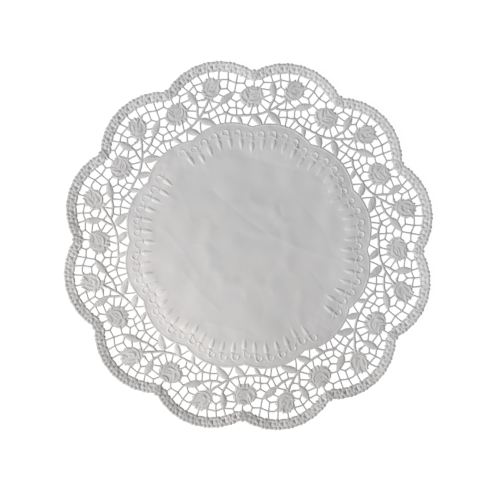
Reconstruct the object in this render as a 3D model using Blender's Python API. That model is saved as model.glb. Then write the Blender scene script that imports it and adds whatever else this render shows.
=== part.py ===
"""Lace doily of die-cut, embossed paper, lying flat.

It is one sheet: a scalloped outline of twelve lobes, with the larger gaps of its lace cut through.
Metres, +Z up. The origin is the middle of the underside, and a notch between two lobes lies on +Y.
"""

import math

import bpy
from mathutils import Vector
from mathutils.geometry import delaunay_2d_cdt

MM = 0.001

# Outline: equal arcs, one to a lobe, that meet in notches.
LOBES = 12
SPAN = 300 * MM  # over two opposite lobe tips
ARC_RADIUS = 54.3 * MM
ARC_STEPS = 8  # straight runs along one arc

THICKNESS = 1 * MM  # of the sheet, as far as its embossing stands up

# A gap is a trapezium whose corners are cut off, because the punch leaves them round.
CORNER_CUT = 0.9  # mm

# The larger gaps of one lobe, in degrees and millimetres.
# angle: clockwise from the notch, seen from above, to the middle of the gap
# radius: from the middle of the doily to the middle of the gap
# outer, inner: width at the end by the rim and at the end by the middle disc
# height: from end to end
# lean: clockwise turn of the gap from the ray through its middle
GAP_COLUMNS = ("angle", "radius", "outer", "inner", "height", "lean")
GAPS = (
    (19.8, 137.1, 6.3, 6.7, 6.3, 6),  # under the rim, the largest
    (16.6, 138.3, 6.0, 4.9, 6.2, 2),
    (13.4, 138.8, 6.4, 3.4, 5.4, 4),
    (10.4, 137.8, 5.0, 6.2, 5.8, -5),
    (7.3, 135.5, 5.6, 4.7, 5.5, -16),
    (22.8, 134.8, 5.2, 5.0, 6.2, 12),
    (25.7, 132.5, 5.4, 5.3, 5.9, 12),
    (28.6, 130.0, 5.2, 4.4, 6.2, 2),  # beside the notch
    (1.4, 130.0, 4.6, 4.4, 6.2, -4),  # on the notch's other side
    (19.6, 129.8, 4.5, 5.0, 6.0, 8),  # between the bud and the rose
    (22.2, 127.6, 4.3, 4.3, 6.6, 4),
    (25.1, 125.5, 6.1, 5.2, 5.8, 8),
    (19.6, 123.5, 5.4, 5.4, 4.4, -2),
    (27.0, 100.3, 7.5, 3.8, 5.8, 0),  # along the middle disc
    (4.5, 102.6, 7.2, 2.0, 6.6, -8),
    (0.4, 97.9, 2.0, 7.8, 5.8, 0),
)

WITHOUT_HOLES = 2  # of the ways to fill loops: triangles inside the outer one and outside the rest
SAME_POINT = 0.001 * MM  # points nearer than this are one


def lobe_arc():
    """The points of the lobe that starts at the notch on +Y, without the last, as x, y."""
    half_turn = math.pi / LOBES
    centre = SPAN / 2 - ARC_RADIUS
    half_sweep = half_turn + math.asin(centre * math.sin(half_turn) / ARC_RADIUS)
    points = []
    for step in range(ARC_STEPS):
        sweep = half_sweep * (2 * step / ARC_STEPS - 1)
        turn = half_turn + sweep
        points.append(
            (
                centre * math.sin(half_turn) + ARC_RADIUS * math.sin(turn),
                centre * math.cos(half_turn) + ARC_RADIUS * math.cos(turn),
            )
        )
    return points


def gap_corners(gap):
    """The points round a gap, as x, y: two for each corner of its trapezium."""
    half = gap["height"] / 2
    corners = [
        (-gap["outer"] / 2, half),
        (gap["outer"] / 2, half),
        (gap["inner"] / 2, -half),
        (-gap["inner"] / 2, -half),
    ]
    turn = math.radians(gap["angle"])
    lean = math.radians(gap["angle"] + gap["lean"])
    points = []
    for i, (across, out) in enumerate(corners):
        for other in (corners[i - 1], corners[(i + 1) % len(corners)]):
            side = math.hypot(other[0] - across, other[1] - out)
            share = min(CORNER_CUT / side, 1 / 3)
            x = across + share * (other[0] - across)
            y = out + share * (other[1] - out)
            points.append(
                (
                    MM * (gap["radius"] * math.sin(turn) + x * math.cos(lean) + y * math.sin(lean)),
                    MM * (gap["radius"] * math.cos(turn) - x * math.sin(lean) + y * math.cos(lean)),
                )
            )
    return points


def turned(points, lobe):
    """The points moved clockwise round the origin by that many lobes."""
    turn = lobe * math.tau / LOBES
    return [
        (x * math.cos(turn) + y * math.sin(turn), y * math.cos(turn) - x * math.sin(turn))
        for x, y in points
    ]


def outlines():
    """The loops of points round the sheet and round each of its gaps, as x, y."""
    yield [p for lobe in range(LOBES) for p in turned(lobe_arc(), lobe)]
    for row in GAPS:
        corners = gap_corners(dict(zip(GAP_COLUMNS, row)))
        for lobe in range(LOBES):
            yield turned(corners, lobe)


def paper():
    material = bpy.data.materials.new("paper")
    material.use_nodes = True
    shader = material.node_tree.nodes["Principled BSDF"]
    shader.inputs["Base Color"].default_value = (0.6, 0.6, 0.59, 1)
    shader.inputs["Roughness"].default_value = 0.75
    shader.inputs["Metallic"].default_value = 0
    return material


def doily():
    """The sheet: one flat face with its gaps left out, in triangles, given its thickness upwards."""
    points = []
    loops = []
    for loop in outlines():
        loops.append(range(len(points), len(points) + len(loop)))
        points += [Vector(p) for p in reversed(loop)]
    points, _, faces, _, _, _ = delaunay_2d_cdt(points, [], loops, WITHOUT_HOLES, SAME_POINT)
    mesh = bpy.data.meshes.new("doily")
    mesh.from_pydata([(p.x, p.y, 0) for p in points], [], faces)
    mesh.materials.append(paper())
    sheet = bpy.data.objects.new("doily", mesh)
    bpy.context.collection.objects.link(sheet)
    solidify = sheet.modifiers.new("thickness", "SOLIDIFY")
    solidify.thickness = THICKNESS
    solidify.offset = 1


for old in list(bpy.data.objects):
    bpy.data.objects.remove(old)
doily()
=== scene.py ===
# %% [markdown]
# # A lace doily of embossed paper
#
# The real thing is one thin sheet of paper. A single stroke of a die cuts its scalloped edge and its
# gaps, and the same stroke presses a beaded rim, roses, buds, leaves and a ring of drops into it. It
# lies flat on a table and is seen from straight above.
#
# The script follows that tool. It draws the pattern of one lobe as strokes, finds where the paper ends
# round them, fills the paper with triangles, lifts the triangles where the die pressed, and then turns
# the lobe round twelve times. The looks come from real relief and from a paper material, with some
# light and shade painted into its colour.
#
# ## The frame
#
# The imported model gives the doily's place and size. Nothing stays selected, because an operator acts
# on all that is selected.

# %% Load the imported doily
import math
from collections import defaultdict, namedtuple

import bpy
import numpy as np
from mathutils.geometry import delaunay_2d_cdt
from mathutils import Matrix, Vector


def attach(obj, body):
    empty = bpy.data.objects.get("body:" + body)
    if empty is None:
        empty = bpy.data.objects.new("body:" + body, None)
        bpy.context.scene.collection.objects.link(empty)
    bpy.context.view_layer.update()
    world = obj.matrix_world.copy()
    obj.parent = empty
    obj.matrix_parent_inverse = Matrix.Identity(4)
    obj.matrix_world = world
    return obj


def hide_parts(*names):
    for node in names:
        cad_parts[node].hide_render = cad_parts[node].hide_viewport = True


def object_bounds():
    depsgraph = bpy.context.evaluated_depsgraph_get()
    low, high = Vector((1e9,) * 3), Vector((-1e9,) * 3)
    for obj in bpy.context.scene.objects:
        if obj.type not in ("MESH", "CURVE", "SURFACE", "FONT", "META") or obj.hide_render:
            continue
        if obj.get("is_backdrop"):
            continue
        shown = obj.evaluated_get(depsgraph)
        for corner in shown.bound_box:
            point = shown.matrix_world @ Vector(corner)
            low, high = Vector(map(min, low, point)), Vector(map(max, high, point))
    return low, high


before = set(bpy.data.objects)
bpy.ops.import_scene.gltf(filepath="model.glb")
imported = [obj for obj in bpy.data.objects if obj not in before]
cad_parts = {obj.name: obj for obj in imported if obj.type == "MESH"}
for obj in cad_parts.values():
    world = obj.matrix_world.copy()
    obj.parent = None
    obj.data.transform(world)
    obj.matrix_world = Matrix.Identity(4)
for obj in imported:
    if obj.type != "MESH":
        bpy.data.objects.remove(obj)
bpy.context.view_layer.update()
bpy.ops.object.select_all(action="DESELECT")

# %% [markdown]
# ## Sizes
#
# The doily has twelve lobes, and a notch between two of them lies on +Y. The drawing is done in
# millimetres. A place is given as on a clock: its angle from the notch, clockwise, and its distance
# from the middle. The outline of the lobes and that of the plain middle disc are both made of arcs.

# %% Sizes and places
MM = 0.001
LOBES = 12
LOBE_TURN = 360 / LOBES
MID_LOBE = LOBE_TURN / 2
Arc = namedtuple("Arc", "radius out")
RIM_ARC = Arc(radius=49.7, out=99.7)
DISC_ARC = Arc(radius=42.15, out=57.7)
SHEET = 0.18  # thickness of the paper


def at(angle, radius):
    """The place that many degrees clockwise from the notch and that far from the middle."""
    turn = np.radians(angle)
    return np.stack((radius * np.sin(turn), radius * np.cos(turn)), axis=-1)


def turned(places, degrees):
    """The places moved clockwise round the middle."""
    turn = math.radians(degrees)
    x, y = places[..., 0], places[..., 1]
    return np.stack(
        (x * math.cos(turn) + y * math.sin(turn), y * math.cos(turn) - x * math.sin(turn)), axis=-1
    )


def clock(places):
    """The angle of each place, in degrees clockwise from the notch."""
    return np.degrees(np.arctan2(places[..., 0], places[..., 1]))


def depth_under(arc, places):
    """How far each place is inside the scalloped edge that the arcs make."""
    angle = clock(places) % LOBE_TURN - MID_LOBE
    radius = np.hypot(places[..., 0], places[..., 1])
    across = radius * np.sin(np.radians(angle))
    out = radius * np.cos(np.radians(angle)) - arc.out
    return arc.radius - np.hypot(across, out)


def edge_radius(arc, angle):
    """How far the scalloped edge is from the middle at an angle."""
    off = math.radians(angle % LOBE_TURN - MID_LOBE)
    return arc.out * math.cos(off) + math.sqrt(arc.radius**2 - (arc.out * math.sin(off)) ** 2)


print("lobe tip and notch, mm:", *(round(edge_radius(RIM_ARC, angle), 1) for angle in (MID_LOBE, 0)))

# %% [markdown]
# ## The camera
#
# The picture is taken from straight above with a long lens. The doily lies a little left of and above
# the middle of the picture, and its notch is turned two degrees clockwise from the top. The camera
# could be aimed at a target, but a camera that looks straight down needs only its place and its roll.

# %% Camera
LENS = 85
SENSOR = 36
VIEW_WIDTH = 399 * MM
CAMERA_ROLL = 1.94
CAMERA_RIGHT = 1.41 * MM
CAMERA_DOWN = 3.50 * MM

roll = math.radians(CAMERA_ROLL)
bpy.ops.object.camera_add(
    location=(
        CAMERA_RIGHT * math.cos(roll) + CAMERA_DOWN * math.sin(roll),
        CAMERA_RIGHT * math.sin(roll) - CAMERA_DOWN * math.cos(roll),
        VIEW_WIDTH * LENS / SENSOR,
    ),
    rotation=(0, 0, roll),
)
camera = bpy.context.object
camera.data.lens = LENS
camera.data.sensor_width = SENSOR
camera.data.dof.use_dof = False
bpy.context.scene.camera = camera
bpy.context.scene.view_settings.view_transform = "Standard"
print("camera height, mm:", round(camera.location.z / MM))

# %% [markdown]
# ## The floor
#
# The floor is plain and white. It glows, as the lit table of a product picture does, so it stays white
# between the bars too and takes no shadow. One wide plane is enough, because its edges are far out of
# sight.

# %% Floor
FLOOR_SIZE = 12
FLOOR_GAP = 0.05 * MM  # under the sheet
FLOOR_TONE = 0.08
FLOOR_GLOW = 0.96
FLOOR_ROUGHNESS = 0.9
FLOOR_SHINE = 0.1

bpy.ops.mesh.primitive_plane_add(size=FLOOR_SIZE, location=(0, 0, -FLOOR_GAP))
floor = bpy.context.object
floor.name = "floor"
floor_finish = bpy.data.materials.new("floor_finish")
floor_finish.use_nodes = True
floor_shader = floor_finish.node_tree.nodes["Principled BSDF"]
floor_shader.inputs["Base Color"].default_value = (FLOOR_TONE, FLOOR_TONE, FLOOR_TONE, 1)
floor_shader.inputs["Roughness"].default_value = FLOOR_ROUGHNESS
floor_shader.inputs["Specular IOR Level"].default_value = FLOOR_SHINE
floor_shader.inputs["Emission Color"].default_value = (1, 1, 1, 1)
floor_shader.inputs["Emission Strength"].default_value = FLOOR_GLOW
floor.data.materials.append(floor_finish)
floor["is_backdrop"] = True
print("floor, m:", FLOOR_SIZE)

# %% [markdown]
# ## The light
#
# A soft lamp stands low on the left and a little nearer the camera's lower edge: it rakes across the
# relief, and the left of the sheet is brighter than the right. Cooler white surroundings fill in the
# rest. A sun lamp would be simpler, but it lights both sides the same.

# %% Lamp and surroundings
LAMP_DISTANCE = 2.3
LAMP_SIZE = 0.58
LAMP_POWER = 70
LAMP_FROM = 240  # degrees clockwise from the top of the picture
LAMP_HEIGHT = 31  # degrees above the floor
LAMP_COLOUR = (1.0, 0.982, 0.962)
SURROUND = 0.33
SURROUND_COLOUR = (0.955, 0.972, 1, 1)

lamp_turn = math.radians(LAMP_FROM - CAMERA_ROLL)
lamp_climb = math.radians(LAMP_HEIGHT)
bpy.ops.object.light_add(
    type="AREA",
    location=(
        LAMP_DISTANCE * math.cos(lamp_climb) * math.sin(lamp_turn),
        LAMP_DISTANCE * math.cos(lamp_climb) * math.cos(lamp_turn),
        LAMP_DISTANCE * math.sin(lamp_climb),
    ),
)
lamp = bpy.context.object
lamp.rotation_euler = (-lamp.location).to_track_quat("-Z", "Y").to_euler()
lamp.data.shape = "DISK"
lamp.data.size = LAMP_SIZE
lamp.data.energy = LAMP_POWER
lamp.data.color = LAMP_COLOUR
world = bpy.data.worlds.new("surroundings")
world.use_nodes = True
world.node_tree.nodes["Background"].inputs["Color"].default_value = SURROUND_COLOUR
world.node_tree.nodes["Background"].inputs["Strength"].default_value = SURROUND
bpy.context.scene.world = world
print("lamp at, m:", [round(v, 2) for v in lamp.location])

# %% [markdown]
# ## Drawing with strokes
#
# Everything that the die makes is drawn with one kind of mark, a stroke: a line through a few places,
# with half its width at each. A bar of the net is a thin stroke, a petal is a short fat one, and a
# bead is a stroke of hardly any length. A stroke can be paper, so that the sheet goes on under it. It
# can stand up, as far as `rise` says, at each place or all along, and a negative `rise` is a groove.
# It can have a tone of its own, which is painted light and shade: beads, knots, vines, leaves and
# petals are painted darker, as their shaded sides and hollows look, and the fine lines between them, the
# outlines and the feet of folds are painted lighter, as painted highlights. Tones are laid in the order
# of drawing, as with a brush: the later one covers the earlier one.
#
# The same could be done with curves and booleans, but hundreds of cuts are slow and leave long thin
# triangles, which spoil a relief.

# %% Strokes
Stroke = namedtuple("Stroke", "line half paper rise tone")
NO_LENGTH = 1e-9  # square mm, in place of 0 for a stroke of one place
OVAL_ENDS = 0.88  # half the width near the ends of an oval, next to that of its middle
pattern = []


def stroke(line, half, paper=False, rise=0.0, tone=None):
    """Adds a mark along a line of places, with half its width at each, to the pattern."""
    line = np.atleast_2d(np.array(line, float))
    half = np.broadcast_to(np.array(half, float), len(line))
    rise = np.broadcast_to(np.array(rise, float), len(line))
    pattern.append(Stroke(line, half, paper, rise, tone))


def across(line, half, places):
    """How far outside a stroke each place is, its share of the way to the side, and how far along."""
    gap = np.full(len(places), np.inf)
    share = np.zeros(len(places))
    passed = np.zeros(len(places))
    for i in range(max(1, len(line) - 1)):
        start, end = line[i], line[min(i + 1, len(line) - 1)]
        along = end - start
        t = np.clip((places - start) @ along / max(along @ along, NO_LENGTH), 0, 1)
        off = np.hypot(*(places - start - t[:, None] * along).T)
        width = half[i] + t * (half[min(i + 1, len(line) - 1)] - half[i])
        nearer = off - width < gap
        gap = np.where(nearer, off - width, gap)
        share = np.where(nearer, off / width, share)
        passed = np.where(nearer, i + t, passed)
    return gap, share, passed


def oval(middle, long, short, lean, **mark):
    """A stroke of that shape, its half lengths given, and its long axis leaning clockwise from +Y."""
    turn = math.radians(lean)
    arm = (long - short) * np.array((math.sin(turn), math.cos(turn)))
    middle = np.array(middle, float)
    ends = (middle - arm, middle, middle + arm)
    stroke(ends, (OVAL_ENDS * short, short, OVAL_ENDS * short), **mark)


print("strokes so far:", len(pattern))

# %% [markdown]
# ## The rim
#
# A beaded band runs along the edge, in eight like units to a lobe. The band turns with the edge, so
# its marks are placed by how many units they are from the middle of the lobe and how deep they lie
# under the edge. Each place also knows which way is out, because the beads turn with the band.

# %% Places along the rim
UNIT = 10.6
UNITS = 8
ARC_UNITS = 3.8  # the arc of a lobe ends this many units from its middle, and a wedge fills the notch
NOTCH = at(0, edge_radius(RIM_ARC, 0))


def rim_place(units, depth):
    """A place on the rim, and which way is out there, in degrees clockwise from +Y."""
    inner = min(abs(units), ARC_UNITS)
    lean = math.degrees(inner * UNIT / RIM_ARC.radius)
    side = math.copysign(1, units)
    if abs(units) <= ARC_UNITS:
        out = MID_LOBE + side * lean
        place = at(MID_LOBE, RIM_ARC.out) + at(out, RIM_ARC.radius - depth)
    else:
        left = (UNITS / 2 - abs(units)) / (UNITS / 2 - ARC_UNITS)
        out = MID_LOBE + side * (MID_LOBE + left * (lean - MID_LOBE))
        place = turned(NOTCH, LOBE_TURN * (side + 1) / 2) - at(out, depth)
    return place, out


print("rim unit, mm:", UNIT, "beside the notch:", rim_place(3.9, 4.0)[0].round(1))

# %% [markdown]
# The band's outer row is two round beads and a long one, which scallop the edge. Under them lie two
# eyes in an oval that is painted light, as a highlight, and between the eyes the paper dips into a deep
# upright groove. A small bead and a large one lie under each join of two units, and a flat dome lies
# under the oval. The beads, the eyes and the groove are painted a shade darker than the band, as
# painted shade, and fine lines and spots between the beads are painted light, as highlights.

# %% Rim beads
RIM_TOP = 0.5  # depths of the band without its beads
RIM_FOOT = 7.8
NOTCH_FOOT = 6.8  # beside the notch the band is narrower
NOTCH_REACH = 3.5  # degrees from the notch to where it has its full width
# The band's own tone, then painted shade on beads and eyes and painted highlights on the fine lines, spots
# and oval between them.
RIM_TONE = 0.98
BEAD_SHADE_TONE = 0.84
EYE_SHADE_TONE = 0.92
HIGHLIGHT_TONE = 1.4  # of the fine lines and spots between beads
LIGHT_HALF = 0.4  # half their width
OVAL_HIGHLIGHT_TONE = 1.33  # of the light oval round two eyes
OVAL_UNITS = 0.39  # half its width
OVAL_HIGH = 1.9  # half its height, in mm
EYE_DEPTH = 4.6
EYE_SHIFT = 1.3  # an eye beside the notch lies that much nearer the edge
GROOVE = (3.2, 6.2)  # depths where it starts and ends


def bead(units, depth, long, short, lean=0.0, rise=0.42, tone=BEAD_SHADE_TONE, paper=0.1):
    """A bead on the rim, standing on a little more paper than itself."""
    place, out = rim_place(units, depth)
    oval(place, long, short, out + lean, rise=rise, tone=tone)
    if paper:
        oval(place, long + paper, short + paper, out + lean, paper=True)


def rim_unit(middle):
    """The beads of one unit, without those at its joins."""
    turns = np.linspace(0, math.tau, 17)
    highlight_oval = [
        rim_place(middle + OVAL_UNITS * math.sin(turn), EYE_DEPTH + OVAL_HIGH * math.cos(turn))[0]
        for turn in turns
    ]
    stroke(highlight_oval, LIGHT_HALF, tone=OVAL_HIGHLIGHT_TONE)
    bead(middle, depth=1.5, long=1.7, short=0.95, lean=90, rise=0.24)
    for side in (-0.24, 0.24):
        beside_notch = abs(middle + side) > UNITS / 2 - 0.5
        depth = EYE_DEPTH - EYE_SHIFT * beside_notch
        bead(middle + side, depth, long=1.65, short=1.45, rise=0.36, tone=EYE_SHADE_TONE, paper=0)
    # The groove is painted darker, as painted shade, and two spots beside its foot lighter, as painted
    # highlights.
    stroke([rim_place(middle, depth)[0] for depth in GROOVE], 0.55, rise=-0.45, tone=0.9)
    for side in (-0.09, 0.09):
        stroke([rim_place(middle + side, GROOVE[1] + 0.3)[0]], LIGHT_HALF, tone=HIGHLIGHT_TONE)
    bead(middle, depth=7.6, long=2.7, short=0.85, lean=90, rise=0.22, tone=0.9)


def rim_join(join):
    """The beads where two units meet, and the painted highlight line between the outer two."""
    stroke([rim_place(join, depth)[0] for depth in (0.4, 3.2)], LIGHT_HALF, tone=HIGHLIGHT_TONE)
    for side in (-0.15, 0.15):
        bead(join + side, depth=1.4, long=1.45, short=1.4, rise=0.36)
    bead(join, depth=4.1, long=1.0, short=0.6, rise=0.22, tone=0.95, paper=0)
    bead(join, depth=7.1, long=1.7, short=1.45, rise=0)  # only the paper and tone of the next stroke
    stroke([rim_place(join, depth)[0] for depth in (5.6, 7.1)], (0.9, 1.55), rise=(0.14, 0.46))


def rim_foot(places):
    """How deep under the edge the band ends at each place."""
    angle = clock(places) % LOBE_TURN
    off = np.minimum(angle, LOBE_TURN - angle)
    return np.interp(off, (0, NOTCH_REACH), (NOTCH_FOOT, RIM_FOOT))


for unit in range(UNITS):
    rim_unit(unit - UNITS / 2 + 0.5)
for join in range(1, UNITS):
    rim_join(join - UNITS / 2)
print("strokes with the rim:", len(pattern))

# %% [markdown]
# Where two lobes meet, the band has no room for a whole join. One bead sits in the notch itself, and a
# pair of beads fills the point under it.

# %% Notch beads
NOTCH_BEADS = (  # place in mm, half the length, half the width, rise
    (0, 138.9, 1.45, 1.35, 0.40),
    (0, 136.5, 1.1, 0.75, 0.28),
    (-1.5, 133.9, 1.35, 1.25, 0.40),
    (1.5, 133.9, 1.35, 1.25, 0.40),
)
NOTCH_PAPER = 0.15  # how far the paper reaches past a bead

for x, y, long, short, rise in NOTCH_BEADS:
    oval((x, y), long + NOTCH_PAPER, short + NOTCH_PAPER, 0, paper=True)
    oval((x, y), long, short, 0, rise=rise, tone=BEAD_SHADE_TONE)
print("strokes with the notch:", len(pattern))

# %% [markdown]
# ## The net
#
# Bars a little over a millimetre wide join the rim, the flowers and the middle disc. Most of them meet
# by threes in knots, like brides in needle lace. One lobe is charted here: first the knots that several
# bars share, then the bars, each from place to place. A bar may run over the edge of its lobe into the
# next one, because every lobe is the same.

# %% Knots
RIM_ENDS = {  # name: degrees from the notch, mm from the middle
    "rim_a": (0.2, 132.7),
    "rim_b": (2.5, 134.4),
    "rim_c": (5.65, 136.5),
    "rim_d": (8.55, 139.5),
    "rim_e": (11.45, 140.8),
    "rim_f": (14.9, 141.6),
    "rim_g": (18.5, 141.1),
    "rim_h": (21.4, 139.0),
    "rim_i": (24.5, 136.8),
    "rim_j": (27.5, 134.2),
}
KNOTS = {  # in the same way
    "rose_right": (3.45, 130.6),
    "leaf_a_tip": (6.8, 131.2),
    "high": (9.15, 134.3),
    "beside_bud": (9.65, 129.0),
    "bud_left": (12.1, 134.4),
    "lip": (21.15, 133.0),
    "cross": (23.75, 129.8),
    "rose_left": (26.6, 129.3),
    "leaf_b_tip": (22.9, 122.8),
    "over_leaf_b": (20.3, 126.2),
    "low_right": (23.25, 114.9),
    "low": (22.95, 110.4),
    "low_left": (20.25, 110.9),
    "over_vine": (18.95, 107.6),
    "under_rose": (25.4, 108.9),
    "vine_turn": (26.2, 104.1),
    "rose_side": (4.2, 119.0),
    "stem_knot": (7.25, 114.4),
    "stem": (8.2, 117.3),
    "bud_stem": (10.45, 115.0),
    "middle": (14.85, 106.65),
    "blob": (18.0, 107.3),
    "fork": (6.4, 108.3),
}

def placed(chain):
    """The places of a chain of names and of (angle, radius) pairs."""
    named = {**RIM_ENDS, **KNOTS}
    return [at(*(named[point] if isinstance(point, str) else point)) for point in chain]


print("knots charted:", len(KNOTS))

# %% [markdown]
# A bar is a chain of those names and of places of its own, and becomes one raised stroke of paper. The
# knots are laid after the bars, so that they stand out over the bars' ends.

# %% Bars
BARS = (
    ("rim_a", (0.1, 127.6)),
    ("rim_b", "rose_right", "leaf_a_tip"),
    ("rose_right", (2.0, 125.8)),
    ((2.6, 125.3), (6.0, 125.1)),
    ("rim_c", "leaf_a_tip", "high", "rim_d"),
    ("beside_bud", "high", "bud_left"),
    ("rim_e", (12.4, 134.2)),
    ("rim_f", (14.8, 137.2)),
    ("beside_bud", (8.4, 126.2)),
    ("beside_bud", (11.3, 127.0)),
    ("rim_g", (18.0, 135.2), (17.8, 133.6)),
    ((18.0, 133.6), (19.4, 133.8), "lip", "rim_h"),
    ("lip", "cross", "rim_i"),
    ("cross", "rose_left", "rim_j"),
    ("rose_left", (27.5, 126.0)),
    ("cross", "leaf_b_tip", (24.95, 121.4)),
    ("lip", "over_leaf_b", (17.8, 126.6)),
    ("over_leaf_b", (21.6, 122.6)),
    ((17.0, 122.6), (18.8, 120.1)),
    ((8.7, 122.2), (10.9, 121.2), (11.9, 122.6)),
    ((14.1, 118.4), (16.3, 116.1), (17.1, 114.9)),
    ((21.2, 117.9), "low_right", (25.1, 116.6)),
    ("low_right", "low", "low_left", (19.3, 115.4)),
    ("low_left", "over_vine"),
    ("low", "under_rose", (26.85, 112.3)),
    ("under_rose", "vine_turn"),
    ("low", (23.1, 108.8), (22.95, 105.3)),
    ("rose_side", (6.35, 121.4)),
    ((3.7, 117.7), (4.25, 117.2), "stem_knot"),
    ((3.0, 113.1), (5.6, 109.1), "fork"),
    ((-0.4, 109.8), (-0.75, 107.5), (-1.15, 105.1)),
    ((1.7, 110.0), (2.1, 107.8), (2.55, 105.5)),
    ((0.1, 103.9), (-0.75, 101.5), (-2.3, 96.2)),
    ((6.85, 105.9), (6.0, 101.6), (5.5, 97.9)),
    ("stem", "bud_stem"),
    ((11.3, 111.2), (11.15, 106.2)),
    ((13.25, 112.0), (13.0, 117.8)),
    ((14.0, 112.1), "middle", (11.7, 105.1)),
    ("middle", (15.2, 99.2)),
    ("middle", (17.15, 106.8), "blob"),
    ((17.05, 113.7), "blob"),
    ((18.45, 105.8), (17.35, 99.6)),
    ((21.3, 104.6), (20.55, 102.3), (19.6, 98.9)),
)
BAR = 0.61  # half the width
BAR_RISE = 0.30
KNOT = 0.78
KNOT_RISE = 0.34
# Knots are painted darker than the bars, as painted shade.
KNOT_SHADE_TONE = 0.80

for chain in BARS:
    stroke(placed(chain), BAR, paper=True, rise=BAR_RISE)
for angle, radius in KNOTS.values():
    stroke(at(angle, radius), KNOT, paper=True, rise=KNOT_RISE, tone=KNOT_SHADE_TONE)
print("bars:", len(BARS))

# %% [markdown]
# The vines are the same marks, only wider. The main one wanders along the middle disc from lobe to
# lobe, and three stems leave it, for a leaf, for a bud and for the next leaf.

# %% Vines
VINES = (
    ("blob", (19.5, 106.3), (20.05, 105.4), (21.15, 104.7), (22.4, 103.9), (24.85, 103.8), "vine_turn"),
    ("vine_turn", (27.45, 103.8), (28.9, 104.2), (30, 104.1), (31, 104.3), (32, 104.8), (32.6, 105.2)),
    ((32.6, 105.2), (34.1, 106.0), (35.1, 107.1), (36.4, 108.3)),
    ("fork", (6.7, 111.1), "stem_knot", (7.95, 118.1), (8.0, 119.8)),
    ("fork", (8.0, 110.2), (9.15, 112.2), "bud_stem", (11.5, 116.6), (11.9, 118.1), (12.6, 119.6)),
    ((9.1, 111.8), (10.0, 111.3), (11.25, 111.1), (13.0, 111.8), (14.0, 112.1)),
    ((14.0, 112.1), (15.3, 113.3), (16.25, 114.5), (17.1, 114.9), (17.8, 116.4)),
)
VINE = 1.0  # half the width
VINE_RISE = 0.36
# Vines, and the thicker places where stems meet, are painted darker, as painted shade.
VINE_SHADE_TONE = 0.90
NODES = (  # where stems meet they are thicker: places, half the width, rise, tone
    (("fork",), 1.5, 0.25, VINE_SHADE_TONE),
    (((17.2, 107.0), "blob", (18.7, 107.6)), (0.7, 1.35, 0.8), 0.3, 0.84),
    (((17.1, 114.9), (17.5, 115.6)), (1.2, 1.0), 0.3, None),
    (((10.4, 121.7), (11.1, 120.9)), (0.9, 0.7), 0.28, 0.74),
)

for chain in VINES:
    stroke(placed(chain), VINE, paper=True, rise=VINE_RISE, tone=VINE_SHADE_TONE)
for chain, half, rise, tone in NODES:
    stroke(placed(chain), half, paper=True, rise=rise, tone=tone)
print("vines:", len(VINES), "thicker places:", len(NODES))

# %% [markdown]
# ## Leaves
#
# Each leaf is one tapering stroke of paper with a round back, painted a shade darker, as painted shade.
# A groove painted light, as a highlight, is its midrib, and finer grooves painted the same way slant
# from the midrib to the sides.

# %% Leaves
LEAF_STEPS = 13
LEAF_FULLNESS = 0.75
LEAF_ENDS = 0.45  # half the width at the foot and the tip
LEAF_RISE = 0.36
# The leaf's tone is painted shade; the midrib's and veins' tones are painted highlights.
LEAF_SHADE_TONE = 0.915
MIDRIB = dict(half=0.3, rise=-0.12, tone=1.05)
VEIN = dict(half=0.24, rise=-0.10, tone=1.04)
VEINS = 4  # on each side
VEIN_REACH = 0.8  # the share of the way to the leaf's side


def along_line(places, shares):
    """Places on a smooth line through three or four places, at those shares of its length."""
    knots = np.linspace(0, 1, len(places))
    degree = len(places) - 1
    fits = [np.polyfit(knots, axis, degree) for axis in np.transpose(places)]
    return np.stack([np.polyval(fit, shares) for fit in fits], axis=-1)


def leaf(chain, half, widest):
    """A leaf from its foot to its tip, that is widest at a share of its length."""
    shares = np.linspace(0, 1, LEAF_STEPS)
    line = along_line(placed(chain), shares)
    swell = np.sin(math.pi * shares ** (math.log(0.5) / math.log(widest))) ** LEAF_FULLNESS
    ahead = np.gradient(line, axis=0)
    ahead /= np.hypot(*ahead.T)[:, None]
    side = np.stack((ahead[:, 1], -ahead[:, 0]), axis=-1)
    width = LEAF_ENDS + (half - LEAF_ENDS) * swell
    stroke(line, width, paper=True, rise=LEAF_RISE, tone=LEAF_SHADE_TONE)
    stroke(line[1:-1], **MIDRIB)
    for i in np.linspace(2, LEAF_STEPS - 4, VEINS).astype(int):
        for way in (-1, 1):
            tip = line[i + 2] + way * VEIN_REACH * half * swell[i + 2] * side[i + 2]
            stroke((line[i], tip), **VEIN)


LEAVES = (  # foot, middle and tip, half the width, share of the length where it is widest
    (((8.0, 119.4), (7.15, 125.4), "leaf_a_tip"), 2.95, 0.5),
    (((17.5, 115.9), (20.0, 119.1), "leaf_b_tip"), 2.95, 0.38),
    (((7.1, 106.8), (9.85, 103.8), (12.9, 99.6)), 3.0, 0.42),
    (((0.1, 103.6), (2.1, 100.7), (4.3, 97.1)), 2.7, 0.48),
    (((23.1, 103.8), (23.85, 101.3), (25.1, 97.6)), 1.95, 0.5),
)
for chain, half, widest in LEAVES:
    leaf(chain, half, widest)
print("leaves:", len(LEAVES))

# %% [markdown]
# ## The rose
#
# A rose sits inside each notch. It is a round open flower: a cap at the top, a long petal on the left,
# petals folded round the heart, and a ragged skirt of small ones below. Each petal is a stroke that
# stands up and is painted darker, as painted shade, and the ground between two petals is painted lighter,
# as a painted highlight line.

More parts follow.
